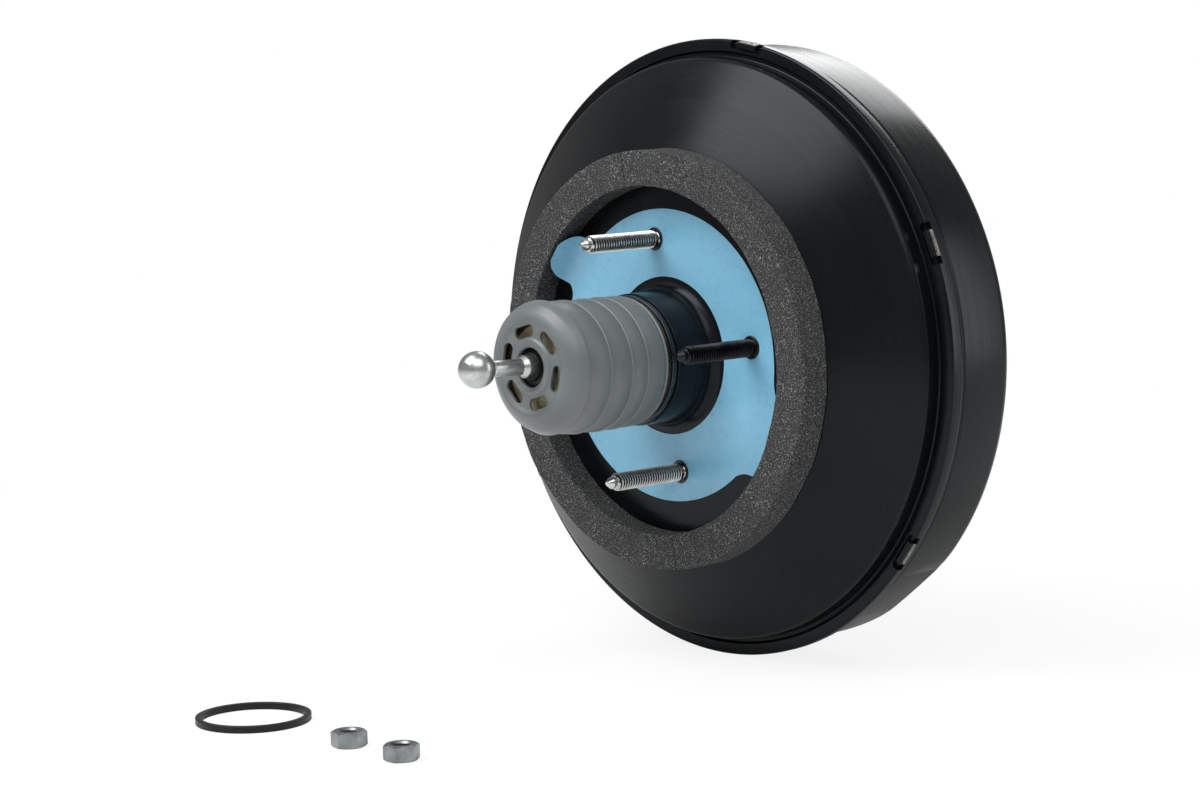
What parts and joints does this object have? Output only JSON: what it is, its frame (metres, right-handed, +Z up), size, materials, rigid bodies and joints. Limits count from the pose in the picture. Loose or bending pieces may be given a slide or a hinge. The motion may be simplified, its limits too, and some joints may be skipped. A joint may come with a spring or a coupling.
{
  "type": "vacuum brake booster",
  "caption": "Single diaphragm vacuum brake booster with a ball-ended input rod, bellows boot, foam gasket, through tie bolts and loose master cylinder nuts and seal ring.",
  "frame": {"origin": "on the booster's axis, in the rear mounting face", "axes": "-Y towards the pedal along the axis, +Y towards the master cylinder, +Z up, +X to the right seen from the pedal"},
  "size_m": [0.2808, 0.3487, 0.2808],
  "materials": {
    "shell_paint": "satin black paint",
    "plate_steel": "dull, formed steel",
    "stud_black": "black phosphate on steel",
    "zinc": "bright zinc plate",
    "rubber": "matt black",
    "hard_rubber": "smooth, lightly greased",
    "boot_rubber": "matt grey-black",
    "moulded": "brown-black phenolic",
    "bush": "natural acetal",
    "spring_steel": "bare spring steel",
    "felt": "needled felt",
    "foam": "charcoal closed-cell foam",
    "film": "sky blue film",
    "valve_plastic": "black nylon"
  },
  "bodies": {
    "booster": {"rear_shell": "shell_paint", "front_shell": "shell_paint", "rear_reinforcement_plate": "plate_steel", "front_reinforcement_plate": "plate_steel", "mounting_studs": "stud_black", "tie_bolts": "zinc", "tie_bolt_seals": "rubber", "neck_retainer": "hard_rubber", "guide_bush": "bush", "guide_seal": "rubber", "diaphragm": "rubber", "boot": "boot_rubber", "return_spring": "spring_steel", "foam_strip_left": "foam", "foam_strip_right": "foam", "mounting_film": "film", "front_seal": "rubber", "front_seal_keeper": "plate_steel", "check_valve_grommet": "rubber", "check_valve_body": "valve_plastic", "check_valve_spring": "spring_steel", "cylinder_seal_ring": "rubber", "cylinder_nuts": "zinc"},
    "power_piston": {"valve_body": "moulded", "stop_key": "plate_steel", "diaphragm_plate": "plate_steel", "plate_lock_ring": "spring_steel", "bolt_sleeve_seals": "rubber", "poppet_retainer": "moulded", "air_filter": "felt", "air_silencer": "felt", "reaction_disc": "rubber", "output_rod": "zinc", "output_rod_tip": "zinc", "output_rod_clip": "spring_steel"},
    "poppet": {"poppet": "rubber", "poppet_insert": "plate_steel", "poppet_spring": "spring_steel"},
    "plunger": {"plunger": "plate_steel"},
    "ball_cup": {"ball_cup": "plate_steel"},
    "input_rod": {"input_rod": "zinc", "rod_spring_seat": "plate_steel", "rod_dust_washer": "hard_rubber", "rod_spring": "spring_steel"},
    "check_disc": {"check_valve_disc": "rubber"}
  },
  "joints": [
    {"name": "piston_slide", "type": "slide", "parent": "booster", "child": "power_piston", "axis": [0, 1, 0], "range_m": [0, 0.032], "stiffness_N_per_m": 4000, "springref_m": -0.03, "deforming": ["boot", "diaphragm", "return_spring"]},
    {"name": "plunger_slide", "type": "slide", "parent": "power_piston", "child": "plunger", "axis": [0, 1, 0], "range_m": [0, 0.0016], "stiffness_N_per_m": 8000, "springref_m": -0.005, "deforming": ["rod_spring"]},
    {"name": "poppet_slide", "type": "slide", "parent": "power_piston", "child": "poppet", "axis": [0, 1, 0], "range_m": [0, 0.0008], "deforming": ["poppet_spring"]},
    {"name": "rod_yaw", "type": "hinge", "parent": "plunger", "child": "ball_cup", "pos_m": [0, -0.02, 0], "axis": [0, 0, 1], "range_deg": [-3, 3], "stiffness_Nm_per_rad": 1.2},
    {"name": "rod_pitch", "type": "hinge", "parent": "ball_cup", "child": "input_rod", "pos_m": [0, -0.02, 0], "axis": [1, 0, 0], "range_deg": [-1, 3], "stiffness_Nm_per_rad": 1.2},
    {"name": "check_disc_lift", "type": "slide", "parent": "booster", "child": "check_disc", "axis": [0, 1, 0], "range_m": [0, 0.0015], "stiffness_N_per_m": 100, "springref_m": -0.003, "deforming": ["check_valve_spring"]}
  ],
  "couplings": [
    {"joint": "poppet_slide", "follows": "plunger_slide", "ratio": 0.5}
  ]
}
